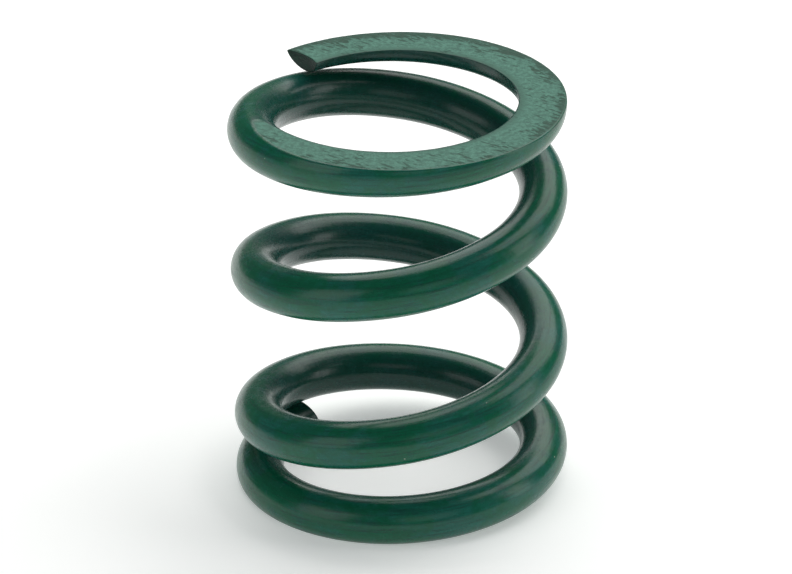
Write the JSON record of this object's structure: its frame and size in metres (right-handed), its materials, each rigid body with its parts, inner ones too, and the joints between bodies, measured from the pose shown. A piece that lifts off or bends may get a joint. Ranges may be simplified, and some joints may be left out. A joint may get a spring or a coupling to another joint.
{
  "type": "coil spring",
  "caption": "Short right-hand suspension compression spring of thick round wire, dark green paint, closed ends ground flat over most of a turn; closes axially as its wire twists.",
  "frame": {"origin": "on the coil axis, at the lower ground face", "axes": "+Z is the coil axis and runs from the lower ground face to the upper one; the lower wire tip lies at azimuth 134.6 degrees from +X towards +Y"},
  "size_m": [0.089, 0.089, 0.1094],
  "materials": {
    "spring_paint": "glossy dark green paint over drawn spring-steel wire",
    "ground_end_paint": "glossy dark green paint on the round sides, thin and matte over the ground face"
  },
  "bodies": {
    "lower_end": {"lower_end_1": "ground_end_paint", "lower_end_2": "ground_end_paint", "lower_end_3": "ground_end_paint", "lower_end_4": "ground_end_paint", "lower_end_5": "ground_end_paint", "lower_end_6": "ground_end_paint", "lower_end_7": "ground_end_paint", "lower_end_8": "ground_end_paint"},
    "active_01": {"active_01": "spring_paint"},
    "active_02": {"active_02": "spring_paint"},
    "active_03": {"active_03": "spring_paint"},
    "active_04": {"active_04": "spring_paint"},
    "active_05": {"active_05": "spring_paint"},
    "active_06": {"active_06": "spring_paint"},
    "active_07": {"active_07": "spring_paint"},
    "active_08": {"active_08": "spring_paint"},
    "active_09": {"active_09": "spring_paint"},
    "active_10": {"active_10": "spring_paint"},
    "active_11": {"active_11": "spring_paint"},
    "active_12": {"active_12": "spring_paint"},
    "active_13": {"active_13": "spring_paint"},
    "active_14": {"active_14": "spring_paint"},
    "active_15": {"active_15": "spring_paint"},
    "active_16": {"active_16": "spring_paint"},
    "upper_end": {"upper_end_1": "ground_end_paint", "upper_end_2": "ground_end_paint", "upper_end_3": "ground_end_paint", "upper_end_4": "ground_end_paint", "upper_end_5": "ground_end_paint", "upper_end_6": "ground_end_paint", "upper_end_7": "ground_end_paint", "upper_end_8": "ground_end_paint"}
  },
  "joints": [
    {"name": "twist_01", "type": "hinge", "parent": "lower_end", "child": "active_01", "pos_m": [-0.02635, 0.02757, 0.01473], "axis": [0.7186, 0.6867, -0.1093], "range_deg": [0, 2.76], "stiffness_Nm_per_rad": 10400},
    {"name": "twist_02", "type": "hinge", "parent": "active_01", "child": "active_02", "pos_m": [-0.03814, 0.00094, 0.01865], "axis": [0.0244, 0.9902, -0.1376], "range_deg": [0, 2.71], "stiffness_Nm_per_rad": 10600},
    {"name": "twist_03", "type": "hinge", "parent": "active_02", "child": "active_03", "pos_m": [-0.02771, -0.02627, 0.02349], "axis": [-0.6785, 0.7157, -0.1655], "range_deg": [0, 3.02], "stiffness_Nm_per_rad": 9530},
    {"name": "twist_04", "type": "hinge", "parent": "active_03", "child": "active_04", "pos_m": [-0.00109, -0.03817, 0.02882], "axis": [-0.9854, 0.0282, -0.1679], "range_deg": [0, 3.77], "stiffness_Nm_per_rad": 7620},
    {"name": "twist_05", "type": "hinge", "parent": "active_04", "child": "active_05", "pos_m": [0.02617, -0.02781, 0.03419], "axis": [-0.718, -0.6755, -0.1679], "range_deg": [0, 4.71], "stiffness_Nm_per_rad": 6100},
    {"name": "twist_06", "type": "hinge", "parent": "active_05", "child": "active_06", "pos_m": [0.03817, -0.00124, 0.03957], "axis": [-0.032, -0.9853, -0.1679], "range_deg": [0, 5.44], "stiffness_Nm_per_rad": 5280},
    {"name": "twist_07", "type": "hinge", "parent": "active_06", "child": "active_07", "pos_m": [0.02792, 0.02606, 0.04494], "axis": [0.6726, -0.7207, -0.1679], "range_deg": [0, 5.75], "stiffness_Nm_per_rad": 5000},
    {"name": "twist_08", "type": "hinge", "parent": "active_07", "child": "active_08", "pos_m": [0.00139, 0.03816, 0.05032], "axis": [0.9851, -0.0359, -0.1679], "range_deg": [0, 5.71], "stiffness_Nm_per_rad": 5040},
    {"name": "twist_09", "type": "hinge", "parent": "active_08", "child": "active_09", "pos_m": [-0.02595, 0.02802, 0.05569], "axis": [0.7233, 0.6698, -0.1679], "range_deg": [0, 5.54], "stiffness_Nm_per_rad": 5180},
    {"name": "twist_10", "type": "hinge", "parent": "active_09", "child": "active_10", "pos_m": [-0.03816, 0.00154, 0.06106], "axis": [0.0398, 0.985, -0.1679], "range_deg": [0, 5.43], "stiffness_Nm_per_rad": 5290},
    {"name": "twist_11", "type": "hinge", "parent": "active_10", "child": "active_11", "pos_m": [-0.02812, -0.02584, 0.06644], "axis": [-0.6669, 0.7259, -0.1679], "range_deg": [0, 5.32], "stiffness_Nm_per_rad": 5410},
    {"name": "twist_12", "type": "hinge", "parent": "active_11", "child": "active_12", "pos_m": [-0.00169, -0.03815, 0.07181], "axis": [-0.9848, 0.0436, -0.1679], "range_deg": [0, 5.02], "stiffness_Nm_per_rad": 5730},
    {"name": "twist_13", "type": "hinge", "parent": "active_12", "child": "active_13", "pos_m": [0.02573, -0.02822, 0.07719], "axis": [-0.7285, -0.6641, -0.1679], "range_deg": [0, 4.4], "stiffness_Nm_per_rad": 6540},
    {"name": "twist_14", "type": "hinge", "parent": "active_13", "child": "active_14", "pos_m": [0.03814, -0.00184, 0.08256], "axis": [-0.0475, -0.9847, -0.1679], "range_deg": [0, 3.55], "stiffness_Nm_per_rad": 8090},
    {"name": "twist_15", "type": "hinge", "parent": "active_14", "child": "active_15", "pos_m": [0.02832, 0.02561, 0.08793], "axis": [0.6612, -0.7312, -0.1679], "range_deg": [0, 2.79], "stiffness_Nm_per_rad": 10300},
    {"name": "twist_16", "type": "hinge", "parent": "active_15", "child": "active_16", "pos_m": [0.00199, 0.03813, 0.09323], "axis": [0.9853, -0.0514, -0.1632], "range_deg": [0, 2.36], "stiffness_Nm_per_rad": 12200},
    {"name": "twist_17", "type": "hinge", "parent": "active_16", "child": "upper_end", "pos_m": [-0.02548, 0.0284, 0.09795], "axis": [0.7377, 0.6619, -0.1328], "range_deg": [0, 2.23], "stiffness_Nm_per_rad": 12900}
  ],
  "couplings": [
    {"joint": "twist_02", "follows": "twist_01", "ratio": 0.9827},
    {"joint": "twist_03", "follows": "twist_01", "ratio": 1.0929},
    {"joint": "twist_04", "follows": "twist_01", "ratio": 1.3672},
    {"joint": "twist_05", "follows": "twist_01", "ratio": 1.7072},
    {"joint": "twist_06", "follows": "twist_01", "ratio": 1.971},
    {"joint": "twist_07", "follows": "twist_01", "ratio": 2.0823},
    {"joint": "twist_08", "follows": "twist_01", "ratio": 2.0672},
    {"joint": "twist_09", "follows": "twist_01", "ratio": 2.0088},
    {"joint": "twist_10", "follows": "twist_01", "ratio": 1.9666},
    {"joint": "twist_11", "follows": "twist_01", "ratio": 1.9261},
    {"joint": "twist_12", "follows": "twist_01", "ratio": 1.818},
    {"joint": "twist_13", "follows": "twist_01", "ratio": 1.5933},
    {"joint": "twist_14", "follows": "twist_01", "ratio": 1.2871},
    {"joint": "twist_15", "follows": "twist_01", "ratio": 1.01},
    {"joint": "twist_16", "follows": "twist_01", "ratio": 0.8561},
    {"joint": "twist_17", "follows": "twist_01", "ratio": 0.8068}
  ]
}
